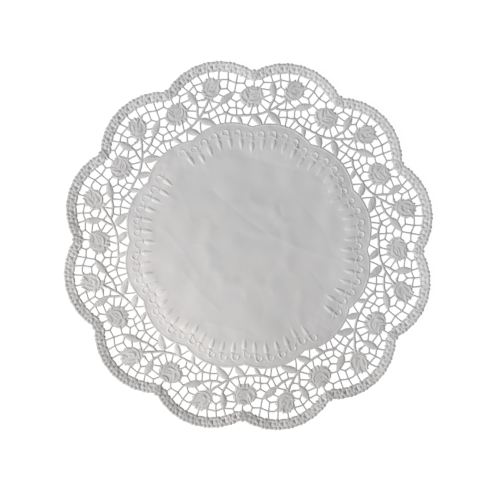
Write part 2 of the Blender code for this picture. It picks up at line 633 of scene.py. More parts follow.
# %% Rose
Petal = namedtuple("Petal", "line half rise")
ROSE_GROUND = (  # paper under the flower: places in mm, half the width at each
    (((-1.7, 119.4), (-0.9, 119.6)), (7.5, 7.3)),
    (((-0.4, 126.6), (0.2, 127.4)), (1.8, 0.7)),
    (((3.6, 124.3), (5.2, 122.6), (6.2, 119.4)), (2.0, 2.2, 2.0)),
    (((6.6, 119.8), (7.9, 118.4)), (1.2, 0.7)),
    (((5.2, 116.9), (5.4, 114.0)), (1.6, 1.3)),
    (((-7.6, 122.6), (-9.0, 119.6), (-8.4, 115.9)), (1.5, 2.0, 1.8)),
    (((-8.4, 115.2), (-6.3, 114.0), (-5.0, 113.2)), (1.8, 1.9, 1.5)),
    (((-3.5, 112.2), (3.4, 112.2)), (1.4, 1.4)),
    (((-3.3, 111.2), (-2.1, 111.1)), (1.0, 0.8)),
    (((0.3, 111.6), (1.8, 111.6)), (1.0, 0.9)),
    (((-3.5, 112.0), (-3.5, 110.8)), (1.2, 1.05)),
    (((-0.6, 112.0), (-0.75, 110.3)), (1.4, 0.8)),
    (((3.2, 112.0), (3.4, 110.2)), (1.1, 0.75)),
)
ROSE_PETALS = (
    Petal(((-1.6, 125.9), (0.3, 126.1), (2.2, 125.9)), (1.7, 2.0, 1.7), 0.38),
    Petal(((-3.0, 125.4), (-1.8, 124.2), (0.3, 123.7), (2.4, 124.2), (3.6, 125.4)),
          (0.5, 0.95, 1.1, 0.95, 0.5), 0.40),
    Petal(((-6.1, 122.9), (-6.0, 121.0), (-5.2, 119.2), (-4.6, 118.2)), (0.7, 1.2, 1.6, 1.2), 0.38),
    Petal(((-4.7, 125.2), (-4.2, 123.2), (-3.6, 121.5)), (0.45, 0.6, 0.5), 0.24),
    Petal(((-7.6, 123.8), (-6.2, 125.3), (-4.2, 126.0), (-2.6, 126.4)), (0.5, 0.7, 0.7, 0.5), 0.16),
    Petal(((-9.4, 120.6), (-8.2, 122.8), (-7.4, 123.9)), (1.15, 0.5, 0.4), 0.34),
    Petal(((-9.4, 118.2), (-8.7, 116.4), (-7.2, 114.8), (-5.6, 114.5)), (1.0, 1.15, 1.6, 0.9), 0.38),
    Petal(((-1.7, 119.5), (0.2, 120.3), (2.3, 120.9), (3.4, 121.4)), (0.8, 0.5, 0.5, 0.65), 0.27),
    Petal(((-0.7, 118.1), (0.9, 118.4), (2.4, 119.0)), (0.45, 0.6, 0.4), 0.27),
    Petal(((-3.2, 115.4), (-1.4, 115.2), (0.6, 115.2), (2.4, 116.1)), (0.5, 0.8, 1.05, 1.0), 0.36),
    Petal(((2.4, 116.1), (3.7, 117.5), (4.6, 119.3), (4.9, 121.4)), (1.0, 0.8, 0.6, 0.3), 0.32),
    Petal(((5.9, 124.9), (6.0, 123.4)), (0.85, 0.7), 0.32),
    Petal(((6.1, 122.6), (6.3, 121.0), (7.1, 119.2)), (0.4, 0.5, 1.05), 0.28),
    Petal(((5.9, 117.4), (5.2, 115.6), (4.4, 113.9)), (0.6, 0.55, 1.05), 0.28),
    Petal(((-3.5, 113.0), (-3.5, 111.0)), (0.95, 0.85), 0.38),
    Petal(((-0.4, 112.7), (-0.7, 110.6)), (1.0, 0.65), 0.38),
    Petal(((2.8, 112.3), (3.1, 110.8)), (0.95, 0.8), 0.38),
)
print("rose petals:", len(ROSE_PETALS))

# %% [markdown]
# The rose's outline isn't smooth: each side has a few small points, as a rose leaf has.

# %% Points round the rose
ROSE_POINTS = (  # place of the point, and which way it points, in degrees clockwise from +Y
    (-10.6, 121.4, -62),
    (-11.2, 119.8, -85),
    (-11.0, 118.2, -100),
    (-10.3, 116.4, -115),
    (-9.2, 114.8, -130),
    (-7.7, 112.6, -150),
    (8.2, 121.6, 80),
    (8.4, 117.0, 110),
    (-4.6, 126.6, -40),
    (3.4, 127.2, 25),
)
POINT_LENGTH = 1.4
POINT_HALF = (0.9, 0.2)  # half the width at its foot and at its tip
# Petals are painted darker, as painted shade, and the ground between them lighter, as a painted highlight.
PETAL_SHADE_TONE = 0.91
GROUND_HIGHLIGHT_TONE = 1.02


def flower(ground, petals, points):
    """The paper, the petals and the outer points of a flower."""
    for line, half in ground:
        stroke(line, half, paper=True, tone=GROUND_HIGHLIGHT_TONE)
    for petal in petals:
        stroke(petal.line, petal.half, rise=petal.rise, tone=PETAL_SHADE_TONE)
    for x, y, way in points:
        turn = math.radians(way)
        foot = np.array((x, y)) - POINT_LENGTH * np.array((math.sin(turn), math.cos(turn)))
        stroke((foot, (x, y)), POINT_HALF, paper=True)


flower(ROSE_GROUND, ROSE_PETALS, ROSE_POINTS)
print("points:", len(ROSE_POINTS))

# %% [markdown]
# ## The bud
#
# Half way between two roses, a half-open bud lies on its stem. Two long petals sweep up on its left,
# a broad one folds over on the right, and its heart is a low dome between them. Three sepals hold its
# foot.

# %% Bud
BUD_GROUND = (
    (((32.2, 123.6), (33.4, 124.6)), (7.0, 7.2)),
    (((32.4, 130.8), (32.9, 132.5)), (1.5, 0.85)),
    (((28.2, 129.4), (30.6, 130.6)), (1.4, 1.3)),
    (((35.1, 131.4), (35.5, 132.9)), (1.2, 0.5)),
    (((37.4, 129.6), (38.2, 130.7)), (1.5, 0.7)),
    (((39.5, 127.2), (42.0, 126.4)), (1.8, 1.1)),
    (((26.0, 122.4), (25.6, 121.0)), (1.9, 1.2)),
    (((27.4, 118.8), (26.3, 116.5)), (1.9, 1.5)),
    (((29.5, 118.0), (28.8, 115.2)), (1.5, 1.15)),
    (((25.6, 119.8), (23.3, 118.9)), (1.2, 0.9)),
)
BUD_PETALS = (
    Petal(((27.3, 127.0), (28.2, 129.0), (29.6, 130.3), (31.4, 131.1), (32.8, 132.4)),
          (0.6, 0.8, 0.95, 0.9, 0.8), 0.37),
    Petal(((34.2, 130.2), (34.8, 131.8), (35.3, 133.0)), (0.5, 0.65, 0.5), 0.25),
    Petal(((29.1, 125.0), (30.0, 126.2), (31.2, 127.3), (32.3, 128.4)), (0.6, 0.95, 1.15, 0.7), 0.29),
    Petal(((37.5, 130.0), (37.2, 128.4)), (1.05, 1.35), 0.36),
    Petal(((34.9, 126.4), (36.8, 126.9), (39.0, 127.5)), (0.65, 1.3, 1.05), 0.37),
    Petal(((32.7, 124.5), (33.9, 124.5)), (0.6, 0.6), 0.26),
    Petal(((30.1, 122.4), (31.5, 121.0), (33.1, 121.3)), (1.0, 1.7, 1.4), 0.38),
    Petal(((33.8, 122.1), (35.4, 122.8), (36.5, 123.9)), (0.9, 0.6, 0.35), 0.27),
    Petal(((25.9, 125.2), (26.2, 123.6)), (0.85, 0.95), 0.36),
    Petal(((26.0, 121.6), (27.2, 120.2), (28.8, 118.7), (30.6, 117.8), (32.5, 117.5), (34.6, 117.9)),
          (0.6, 0.65, 0.65, 0.65, 0.7, 0.55), 0.33),
    Petal(((35.7, 118.9), (37.2, 119.9), (38.4, 121.4), (38.9, 123.0), (39.8, 124.7), (41.2, 125.9)),
          (0.5, 0.8, 0.95, 0.8, 0.6, 0.4), 0.36),
    Petal(((24.3, 119.0), (24.6, 119.0)), (1.0, 1.0), 0.36),
    Petal(((26.3, 117.2), (26.1, 116.7)), (1.1, 1.1), 0.36),
    Petal(((28.4, 115.7), (28.5, 115.4)), (0.95, 0.95), 0.36),
)
BUD_POINTS = (
    (24.0, 124.0, -80),
    (24.9, 126.6, -62),
    (42.1, 126.0, 80),
    (40.6, 121.6, 105),
    (36.6, 131.8, 20),
)
flower(BUD_GROUND, BUD_PETALS, BUD_POINTS)
print("bud petals:", len(BUD_PETALS))

# %% [markdown]
# ## The drops
#
# The middle disc has a border of drops, five to a lobe, that point to the middle. Each hangs by its
# crown from a stem, which rises into an arched loop on its left, and a fine string runs from crown to
# crown past the feet of the loops. All of them stand on a broad low ridge. Two lobes, on opposite
# sides, have no drops in their middle, so the drops are kept in lists of their own.

# %% Drops
DROP_STEP = 6.0
DROP_AT = 0.25
LOOP_AT = -1.7  # from its drop
DROP_DEPTH = 14.8  # of the widest part of its body
LOOP_DEPTH = 8.2
LOOP_RADIUS = 2.55
STRING = ((0.8, 10.6), (1.8, 9.9), (2.9, 9.6), (4.2, 10.0), (5.3, 10.8))  # degrees from its drop, depth
PLAIN_LOBES = (4, 10)
PLAIN_DROPS = (2, 3)


def in_frame(angle, depth, places):
    """Places given across and out from a point of the disc's border, that turn with the border."""
    origin = at(angle, edge_radius(DISC_ARC, angle) - depth)
    return [origin + x * at(angle + 90, 1) + y * at(angle, 1) for x, y in places]


def arch(angle, radius, start, end):
    """Places on an arc round the middle of a loop."""
    turns = np.linspace(start, end, 9)
    return in_frame(angle, LOOP_DEPTH, [(radius * math.sin(a), radius * math.cos(a)) for a in turns])


def drop(angle):
    """A drop, its stem and its loop, and the string to the next drop."""
    body = in_frame(angle, DROP_DEPTH, ((0, -6.2), (0, -4.2), (0, -2.0), (0, -0.2), (0, 1.0)))
    half = np.array((0.5, 1.25, 1.85, 2.1, 1.6))
    # The drop's outline, the line inside its loop and the string are painted lighter, as painted
    # highlights, and its crown a shade darker, as painted shade.
    stroke(body, half + 0.35, tone=1.2)
    stroke(body, half, rise=(0.18, 0.36, 0.46, 0.48, 0.40), tone=1.03)
    crown = in_frame(angle, DROP_DEPTH, ((-0.8, 3.5), (0, 3.7), (0.8, 3.5)))
    stroke(crown, (0.95, 1.1, 0.95), rise=0.38, tone=0.96)
    stroke(in_frame(angle, DROP_DEPTH, ((0, 4.2), (-0.1, 6.2))), (0.85, 0.7), rise=0.40, tone=0.98)
    loop = angle + LOOP_AT
    stroke(arch(loop, 0.9, -1.6, 1.6), 1.1, rise=-0.12, tone=1.03)
    stroke(arch(loop, LOOP_RADIUS - 0.75, -1.7, 1.5), 0.35, tone=1.3)
    stroke(arch(loop, LOOP_RADIUS, -1.95, 1.5), 0.6, rise=0.30, tone=1.03)
    stroke(in_frame(angle + 1.35, LOOP_DEPTH + 0.4, ((0, -0.4), (0, 0.4))), 0.8, rise=-0.12)
    string = [in_frame(angle + off, depth, ((0, 0),))[0] for off, depth in STRING]
    stroke(string, 0.42, rise=0.2, tone=1.05)


drops_per_lobe = round(LOBE_TURN / DROP_STEP)
disc_marks = []
for number in range(drops_per_lobe):
    first = len(pattern)
    drop(DROP_AT + number * DROP_STEP)
    disc_marks.append(pattern[first:])
    del pattern[first:]
print("drops in a lobe:", len(disc_marks), "strokes in one:", len(disc_marks[0]))

# %% [markdown]
# ## Where there is paper
#
# The sheet is the rim's band, the middle disc and every stroke marked as paper, run together with a
# small fillet where they meet, as a die's corners are never sharp. A grid of one lobe is worked out
# with the distance from each point to the nearest edge: negative on paper, positive in a gap. The
# fillet comes from a soft minimum, which counts all the shapes that are near.

# %% Paper
FILLET = 0.18
REACH = 1.7  # strokes further away than this don't count
FAR = (-3, 9)  # beyond these distances a shape makes no difference to the fillet
NO_PAPER = 1e-12  # the least sum, so that its logarithm exists


def near(mark, lobe, places):
    """Which places a stroke's copy in another lobe can reach, with its line there."""
    line = turned(mark.line, lobe * LOBE_TURN)
    margin = mark.half.max() + REACH
    low = line.min(axis=0) - margin
    high = line.max(axis=0) + margin
    return np.flatnonzero(((places > low) & (places < high)).all(axis=1)), line


def off_paper(places):
    """How far each place is from the edge of the paper, negative inside."""
    rim_depth = depth_under(RIM_ARC, places)
    parts = (np.maximum(RIM_TOP - rim_depth, rim_depth - rim_foot(places)), -depth_under(DISC_ARC, places))
    total = sum(np.exp(-np.clip(part, *FAR) / FILLET) for part in parts)
    for mark in pattern:
        if not mark.paper:
            continue
        for lobe in (-1, 0, 1):
            index, line = near(mark, lobe, places)
            gap, _, _ = across(line, mark.half, places[index])
            total[index] += np.exp(-np.clip(gap, *FAR) / FILLET)
    return -FILLET * np.log(np.maximum(total, NO_PAPER))


CUT = 8.8  # the ray where a lobe's mesh starts, between two drops, mostly through gaps
INNER = 72.0  # the plain middle inside this radius is a piece of its own
OUTER = 151.5  # just outside the lobe's tip
ROWS = 398
COLUMNS = 361
grid_radius = np.linspace(INNER, OUTER, ROWS)
grid_angle = CUT + np.linspace(0, LOBE_TURN, COLUMNS)
grid = at(grid_angle[None, :], grid_radius[:, None])
off_grid = off_paper(grid.reshape(-1, 2)).reshape(ROWS, COLUMNS)
off_grid[:, -1] = off_grid[:, 0]
print("share of the lobe's grid that is paper:", round(float((off_grid < 0).mean()), 3))

# %% [markdown]
# The edge of the paper crosses the lines of that grid. Marching squares finds the crossings and joins
# them cell by cell, and the joined pairs are followed into long chains: a closed one round each gap,
# and open ones that end on the two rays where the lobe was cut. Chains are then given even points.

# %% Edge of the paper
EDGE_STEP = 0.42


def grid_crossings(field):
    """The places where the field's zero line crosses the grid, and the pairs that a cell joins."""
    inside = field < 0
    along = inside[:, :-1] != inside[:, 1:]
    out = inside[:-1] != inside[1:]
    along_id = np.full(along.shape, -1)
    out_id = np.full(out.shape, -1)
    along_id[along] = np.arange(along.sum())
    out_id[out] = along.sum() + np.arange(out.sum())
    share = field[:, :-1][along] / (field[:, :-1] - field[:, 1:])[along]
    row, column = np.nonzero(along)
    found = [np.stack((row, column + share), axis=1)]
    share = field[:-1][out] / (field[:-1] - field[1:])[out]
    row, column = np.nonzero(out)
    found.append(np.stack((row + share, column), axis=1))
    sides = np.stack((along_id[:-1], out_id[:, 1:], along_id[1:], out_id[:, :-1]), axis=-1).reshape(-1, 4)
    sides = sides[(sides >= 0).any(axis=1)]
    pairs = []
    for cell in sides:
        cell = cell[cell >= 0]
        pairs += [cell[i : i + 2] for i in range(0, len(cell), 2)]
    return np.concatenate(found), pairs


def joined(pairs):
    """The pairs followed into chains. A closed chain ends with its first point."""
    beside = defaultdict(list)
    for a, b in pairs:
        beside[a].append(b)
        beside[b].append(a)
    starts = [point for point in beside if len(beside[point]) == 1] + list(beside)
    chains = []
    for start in starts:
        if not beside[start]:
            continue
        chain = [start]
        while beside[chain[-1]]:
            following = beside[chain[-1]].pop()
            beside[following].remove(chain[-1])
            chain.append(following)
        chains.append(chain)
    return chains


def spaced(line, step):
    """The line again, with its points evenly spaced, about that far apart."""
    length = np.concatenate(([0], np.cumsum(np.hypot(*np.diff(line, axis=0).T))))
    marks = np.linspace(0, length[-1], max(3, round(length[-1] / step) + 1))
    return np.stack([np.interp(marks, length, line[:, i]) for i in range(2)], axis=-1)


crossings, pairs = grid_crossings(off_grid)
edge_places = at(
    np.interp(crossings[:, 1], np.arange(COLUMNS), grid_angle),
    np.interp(crossings[:, 0], np.arange(ROWS), grid_radius),
)
edges = [spaced(edge_places[chain], EDGE_STEP) for chain in joined(pairs)]
on_ray = crossings[:, 1] == 0
cut_radii = np.sort(np.interp(crossings[on_ray, 0], np.arange(ROWS), grid_radius))
print("edges:", len(edges), "of them on the cut:", len(cut_radii))

# %% [markdown]
# ## Triangles
#
# The paper is filled with points in a honeycomb, closer together in the lace, where the relief is fine.
# A square grid would be simpler, but its triangles would be less even, and a relief shows that.

# %% Points of a lobe
RING_STEPS = 38  # to a lobe, where the lace meets the plain middle
CLEAR = 0.24  # between the edge and the nearest honeycomb point


def honeycomb(step, low, high):
    """Points in rows that are offset by half a step, over a box."""
    rows = np.arange(low[1], high[1], step * math.sqrt(3) / 2)
    found = []
    for number, y in enumerate(rows):
        x = np.arange(low[0] + (number % 2) * step / 2, high[0], step)
        found.append(np.stack((x, np.full(len(x), y)), axis=-1))
    return np.concatenate(found)


def off_paper_in_grid(places):
    """The distance from the edge of the paper, read from the lobe's grid."""
    row = (np.hypot(*places.T) - INNER) / (OUTER - INNER) * (ROWS - 1)
    column = (clock(places) - CUT) / LOBE_TURN * (COLUMNS - 1)
    i = np.clip(row.astype(int), 0, ROWS - 2)
    j = np.clip(column.astype(int), 0, COLUMNS - 2)
    u, v = row - i, column - j
    top = off_grid[i, j] * (1 - v) + off_grid[i, j + 1] * v
    bottom = off_grid[i + 1, j] * (1 - v) + off_grid[i + 1, j + 1] * v
    return top * (1 - u) + bottom * u


def inside_lobe(places, margin):
    """Which places are in the lobe's sector, that far from its rays and its inner circle."""
    first = at(CUT + 90, 1)
    last = at(CUT + LOBE_TURN - 90, 1)
    return (places @ first > margin) & (places @ last > margin) & (np.hypot(*places.T) > INNER + margin)


STEPS = (  # from this radius to that one, the honeycomb's step
    (INNER, 76.0, 0.80),
    (76.0, 94.0, 0.52),
    (94.0, OUTER, 0.46),
)
SECTOR = ((-5.0, 40.0), (100.0, 152.0))  # the box round the lobe: its low and high corners

lobe_points = []
for low, high, step in STEPS:
    comb = honeycomb(step, *SECTOR)
    radius = np.hypot(*comb.T)
    comb = comb[(radius > low) & (radius <= high)]
    comb = comb[inside_lobe(comb, 0.5 * step)]
    lobe_points.append(comb[off_paper_in_grid(comb) < -CLEAR])
print("honeycomb points:", [len(points) for points in lobe_points])

# %% [markdown]
# A triangulation joins those points and keeps every line that has to stay: the chains, the two cut
# rays, and the circle where the plain middle starts. It fills the gaps as well, so the triangles whose
# middle is in a gap are dropped.

# %% Triangles of a lobe
ALL_TRIANGLES = 0  # what the triangulation gives back
SAME_POINT = 0.002  # mm between points that become one
BORDER_STEP = 0.55
SLIVER = 1e-3  # twice the area of a triangle, in square mm, whose points are as good as in line


def border_lines():
    """The lines round the lobe's paper, apart from the edges: along both rays and the inner circle."""
    ends = np.concatenate(([INNER], cut_radii))
    for low, high in ends.reshape(-1, 2):
        radii = np.linspace(low, high, max(2, round((high - low) / BORDER_STEP) + 1))
        yield at(CUT, radii)
        yield at(CUT + LOBE_TURN, radii)
    yield at(CUT + np.linspace(0, LOBE_TURN, RING_STEPS + 1), INNER)


def triangulated(lines, loose):
    """Points and triangles that keep every line."""
    points = []
    kept = []
    for line in lines:
        kept += [(len(points) + i, len(points) + i + 1) for i in range(len(line) - 1)]
        points += line.tolist()
    points += loose.tolist()
    made = delaunay_2d_cdt(points, kept, [], ALL_TRIANGLES, SAME_POINT)
    return np.array([tuple(p) for p in made[0]]), np.array(made[2])


def twice_area(points, triangles):
    """Twice the area of each flat triangle, negative where its points go round clockwise."""
    a, b, c = (points[triangles[:, i]] for i in range(3))
    return (b[:, 0] - a[:, 0]) * (c[:, 1] - a[:, 1]) - (b[:, 1] - a[:, 1]) * (c[:, 0] - a[:, 0])


def facing_up(points, triangles):
    """The triangles, each turned so that its points go round anticlockwise from above."""
    turn = twice_area(points, triangles)
    triangles = triangles[np.abs(turn) > SLIVER]
    turn = turn[np.abs(turn) > SLIVER]
    return np.where(turn[:, None] > 0, triangles, triangles[:, ::-1])


lobe_xy, lobe_triangles = triangulated([*edges, *border_lines()], np.concatenate(lobe_points))
lobe_triangles = facing_up(lobe_xy, lobe_triangles)
middles = lobe_xy[lobe_triangles].mean(axis=1)
on_paper = (off_paper_in_grid(middles) < 0) & inside_lobe(middles, 0)
lobe_triangles = lobe_triangles[on_paper]
used, lobe_triangles = np.unique(lobe_triangles, return_inverse=True)
lobe_triangles = lobe_triangles.reshape(-1, 3)
lobe_xy = lobe_xy[used]
print("a lobe has", len(lobe_xy), "points and", len(lobe_triangles), "triangles")

# %% [markdown]
# ## Relief and tone
#
# Each point is now lifted by the strokes over it. A raised stroke has a round back, highest along its
# line, and where two cross the higher one wins, as on a die. Grooves are taken off what is left, and
# their sides are softer. The punch draws the cut edges down a little as it passes, and the edge of the
# plain disc is turned up into a narrow brim. The tone starts with that of the disc, the net or the rim,
# and then each stroke that has a tone lays it on. The tones are painted light and shade: the net is
# painted darker, as painted shade, and the disc lighter towards its border, as painted light. The broad
# ridge under the drops isn't here, because it belongs to the way that the sheet lies.

# %% Relief
# The net's tone is painted shade, and the disc's lighter border is painted light.
LACE_SHADE_TONE = 0.815
DISC_RADII = (30, 76, 84, 90, 96)  # the plain disc's tone changes a little between its middle and
DISC_PAINTED_LIGHT = (1.0, 1.02, 1.065, 1.05, 1.015)  # its border: it is lightest where the drops are
BLEND = 0.8  # mm over which one tone of the ground goes over into the next
SOFT = 0.5  # and that of a stroke
ROUND = 1.3  # a raised stroke's back: 1 is an arch with a hard foot, and more has a softer foot
SPREAD = 1.6  # a groove's sides end this many half widths from its line
BRIM = (0.28, 0.95, 0.6)  # height, depth under the disc's border and half width
EDGE_DROP = 0.18  # how far a cut edge is drawn down
EDGE_ROLL = 0.42  # how far that reaches into the paper
RIM_HOLDS = 0.8  # the share of it that the stiff rim resists
Relief = namedtuple("Relief", "rise tone")


def painted_disc_light(places):
    """How light the plain disc is painted at each place: painted light, lightest where the drops are."""
    return np.interp(np.hypot(*places.T), DISC_RADII, DISC_PAINTED_LIGHT)


drawing = [(mark, False) for mark in pattern]
for number, group in enumerate(disc_marks):
    drawing += [(mark, number in PLAIN_DROPS) for mark in group]


def pressed(plain, places):
    """How high the die lifts a lobe's places, in mm, and how light they are.

    Whether the middle drops are left out is said for the lobe before, this one and the next.
    """
    disc_depth = depth_under(DISC_ARC, places)
    on_disc = np.clip(0.5 + disc_depth / BLEND, 0, 1)
    on_rim = np.clip(0.5 + (rim_foot(places) - depth_under(RIM_ARC, places)) / BLEND, 0, 1)
    brim = BRIM[0] * np.exp(-(((disc_depth - BRIM[1]) / BRIM[2]) ** 2))
    tone = LACE_SHADE_TONE + (painted_disc_light(places) - LACE_SHADE_TONE) * on_disc + (RIM_TONE - LACE_SHADE_TONE) * on_rim
    high = np.zeros(len(places))
    low = np.zeros(len(places))
    for mark, is_middle_drop in drawing:
        if not mark.rise.any() and mark.tone is None:
            continue
        for lobe, is_plain in zip((-1, 0, 1), plain):
            index, line = near(mark, lobe, places)
            if not len(index) or is_plain and is_middle_drop:
                continue
            gap, share, passed = across(line, mark.half, places[index])
            rise = np.interp(passed, np.arange(len(line)), mark.rise)
            back = np.clip(1 - share**2, 0, 1) ** ROUND
            high[index] = np.maximum(high[index], rise * back)
            dip = np.clip(1 - (share / SPREAD) ** 2, 0, 1) ** 2
            low[index] = np.maximum(low[index], -rise * dip)
            if mark.tone is not None:
                laid = np.clip(0.5 - gap / SOFT, 0, 1)
                tone[index] += laid * (mark.tone - tone[index])
    edge = EDGE_DROP * (1 - RIM_HOLDS * on_rim) * np.exp(off_paper_in_grid(places) / EDGE_ROLL)
    return Relief(high - low + brim - edge, tone)


print("strokes in the whole drawing:", len(drawing))

# %% [markdown]
# Two of the lobes have no drops in the middle of their border. A lobe's relief also depends on the
# lobes beside it, because strokes reach over, so there are four kinds of lobe, and each kind is worked
# out once.

# %% Relief of each lobe
def plain_near(lobe):
    """Which of the lobe before, this one and the next are plain."""
    return tuple((lobe + step) % LOBES in PLAIN_LOBES for step in (-1, 0, 1))


reliefs = {plain: pressed(plain, lobe_xy) for plain in set(map(plain_near, range(LOBES)))}
for plain, relief in reliefs.items():
    print(plain, "relief, mm:", round(float(relief.rise.min()), 2), round(float(relief.rise.max()), 2))

# %% [markdown]
# ## How the sheet lies
#
# Embossed paper never lies flat, because the die stretches it more in one place than in another. The
# plain middle bulges up a little, the lace sags beside it and rises again towards the rim, and the rim
# curls upwards. A broad low ridge runs round the disc under the drops. These heights are small, but
# under a low lamp they decide which side of the sheet is bright. Each lobe also lifts by its own
# amount.

# %% Lift
LOWEST = 1.35  # height of the top side where nothing lifts it
LOBE_LIFT = (0.20, 0.08, 0.28, 0.14, 0.04, 0.22, 0.10, 0.26, 0.06, 0.18, 0.24, 0.05)
LIFT_GROWS = (90, 60, 1.5)  # radius where that starts, how far it grows, and how steeply
BULGE = (1.5, 52.0)  # height and half width of the middle's
SAG = (0.65, 108.0, 9.0)  # depth, radius and half width of the lace's
LACE_RISE = (0.5, 108.0, 142.0)  # height, and the radii between which it grows
LOBE_CURL = (1.8, 1.4, 1.2, 1.7, 1.3, 1.8, 1.9, 1.7, 1.0, 1.4, 0.9, 1.9)  # height of each rim's edge
CURL_DEPTH = 8.6  # where the curl starts, under the edge
CURL_STEEP = 1.15  # more keeps the curl nearer the edge
RIDGE = (0.30, 17.2, 4.8)  # height, depth under the disc's border and half width of the drops' ridge
NOTCH_BEND = 1.2  # mm over which the curls of two lobes blend at a notch


def curl_depth(places):
    """How deep each place lies under the edge, rounded where two lobes meet."""
    angle = clock(places) % LOBE_TURN - MID_LOBE
    radius = np.hypot(*places.T)
    depths = []
    for off in (np.abs(angle), np.abs(angle) - LOBE_TURN):
        x = radius * np.sin(np.radians(off))
        y = radius * np.cos(np.radians(off)) - RIM_ARC.out
        depths.append((RIM_ARC.radius - np.hypot(x, y)) / NOTCH_BEND)
    return NOTCH_BEND * np.logaddexp(*depths)


def by_lobe(values, places):
    """The lobes' values at each place, going over from the middle of one lobe to the next."""
    middles = np.arange(LOBES + 2) * LOBE_TURN - MID_LOBE
    return np.interp(clock(places) % 360, middles, (values[-1], *values, values[0]))


def lift(places):
    """The height of the sheet by its place between the middle and the rim, in mm."""
    radius = np.hypot(*places.T)
    start, reach, steep = LIFT_GROWS
    height = LOWEST + by_lobe(LOBE_LIFT, places) * np.clip((radius - start) / reach, 0, 1) ** steep
    height += BULGE[0] * np.exp(-((radius / BULGE[1]) ** 2))
    height -= SAG[0] * np.exp(-(((radius - SAG[1]) / SAG[2]) ** 2))
    share = np.clip((radius - LACE_RISE[1]) / (LACE_RISE[2] - LACE_RISE[1]), 0, 1)
    height += LACE_RISE[0] * share**2 * (3 - 2 * share)
    height += RIDGE[0] * np.exp(-(((depth_under(DISC_ARC, places) - RIDGE[1]) / RIDGE[2]) ** 2))
    outside = radius > LACE_RISE[1]  # the arcs, followed round, would also reach the middle
    share = np.clip(1 - curl_depth(places) / CURL_DEPTH, 0, 1)
    return height + by_lobe(LOBE_CURL, places) * outside * np.sin(share * math.pi / 2) ** CURL_STEEP


ray = at(np.full(7, 225.0), np.array((0.0, 50.0, 85.0, 105.0, 120.0, 140.0, 148.0)))
print("lift along one ray, mm:", lift(ray).round(2))

# %% [markdown]
# The plain middle has faint creases from folding, each a line with straight sides: the longest runs
# from the upper left across the middle. The strong ones are listed, as a line with a half width and a
# height in millimetres, below zero for a trough. Round dents come from a seeded random draw.
# Faint waves cross all of it, and in the thin lace there are shorter ones, its crinkles. The die doesn't
# press as hard everywhere either. So the sheet looks handled and not moulded.

# %% Creases, dents and waves
FOLD = 2.2  # how quickly a crease fades towards its side
CREASES = (  # places in mm, half the width at each, height
    (((-30, 43), (-14, 30), (1, 18.5), (13.5, 11)), (3, 5, 5, 3), -0.16),
    (((13.5, 11), (30, 3.5), (47, -2.5), (72, -9.5)), (3, 6, 6, 4), 0.11),
    (((-1, 70), (19.5, 65.5), (38, 61)), (4, 6, 5), -0.13),
    (((40, 37), (59, 16), (66, -2)), (4, 6, 4), -0.08),
    (((48, 56), (58, 50), (62, 38)), (5, 8, 5), 0.12),
    (((-58, 44), (-50, 30), (-46, 18)), (5, 7, 5), 0.10),
    (((-66, 10), (-52, -6), (-40, -24)), (6, 9, 6), 0.16),
    (((-50, -24), (-36, -40), (-22, -52)), (5, 8, 5), 0.16),
    (((-30, -62), (-12, -66), (6, -72)), (5, 7, 5), 0.14),
    (((8, -34), (14, -48), (12, -62)), (4, 7, 5), -0.10),
    (((52, -20), (60, -30), (63, -44)), (4, 6, 4), -0.12),
)
SWELLS = (  # middle, half width, height of a broad rise of the plain disc
    ((-30, -4), 42, 0.6),
    ((4, -60), 40, 0.9),
    ((60, 56), 36, 0.5),
    ((88, 6), 34, 0.6),
)
DENTS = 26
DENT_MIDDLE = (-8, -10)  # there are more of them on this side
DENT_SPREAD = 34
DENT_ARMS = (4, 14)  # half their length, shortest and longest
DENT_BEND = 2.5
DENT_HALVES = (3, 6)  # half their width, least and most
DENT_ENDS = 0.7  # share of that width at their ends
DENT_RISE = 0.06
DENT_FADE = 1.3  # how quickly a dent fades towards its side
WAVES = 30
WAVE_LENGTHS = (12, 46)  # mm, shortest and longest
WAVE_RISE = 0.021
WAVES_GROW = ((30, 75), (1, 1.6))  # radii, and how strong the waves are there
CRINKLES = 36
CRINKLE_LENGTHS = (5, 20)
CRINKLE_RISE = 0.034
CRINKLES_GROW = ((62, 85, 105), (0, 0.6, 1))
PRESS_VARIES = 2.0  # how much the die's pressure varies from place to place
PRESS_LIMITS = (0.55, 1.5)

chance = np.random.default_rng(12)
Waves = namedtuple("Waves", "way length start rise")


def drawn_waves(number, lengths, rise, power):
    """Random waves. The longest is as high as `rise`, and the shorter ones are lower."""
    length = chance.uniform(*lengths, number)
    turns = chance.uniform(0, math.tau, (2, number))
    return Waves(turns[0], length, turns[1], rise * (length / lengths[1]) ** power)


faint_waves = drawn_waves(WAVES, WAVE_LENGTHS, WAVE_RISE, 0.5)
crinkles = drawn_waves(CRINKLES, CRINKLE_LENGTHS, CRINKLE_RISE, 1)
dents = []
for middle in chance.normal(DENT_MIDDLE, DENT_SPREAD, (DENTS, 2)):
    way = chance.uniform(0, math.pi)
    arm = chance.uniform(*DENT_ARMS) * np.array((math.sin(way), math.cos(way)))
    bend = chance.normal(0, DENT_BEND, 2)
    half = chance.uniform(*DENT_HALVES) * np.array((DENT_ENDS, 1, DENT_ENDS))
    dents.append(((middle - arm, middle + bend, middle + arm), half, chance.normal(0, DENT_RISE)))


def wavy(kind, places):
    """The height of all waves of a kind together at each place, in mm."""
    height = np.zeros(len(places))
    for way, length, start, rise in zip(*kind):
        run = places @ np.array((math.sin(way), math.cos(way)))
        height += rise * np.sin(math.tau * run / length + start)
    return height


def pressure(places):
    """How hard the die pressed at each place: 1 is as drawn."""
    return np.clip(1 + PRESS_VARIES * wavy(crinkles, places[:, ::-1]), *PRESS_LIMITS)


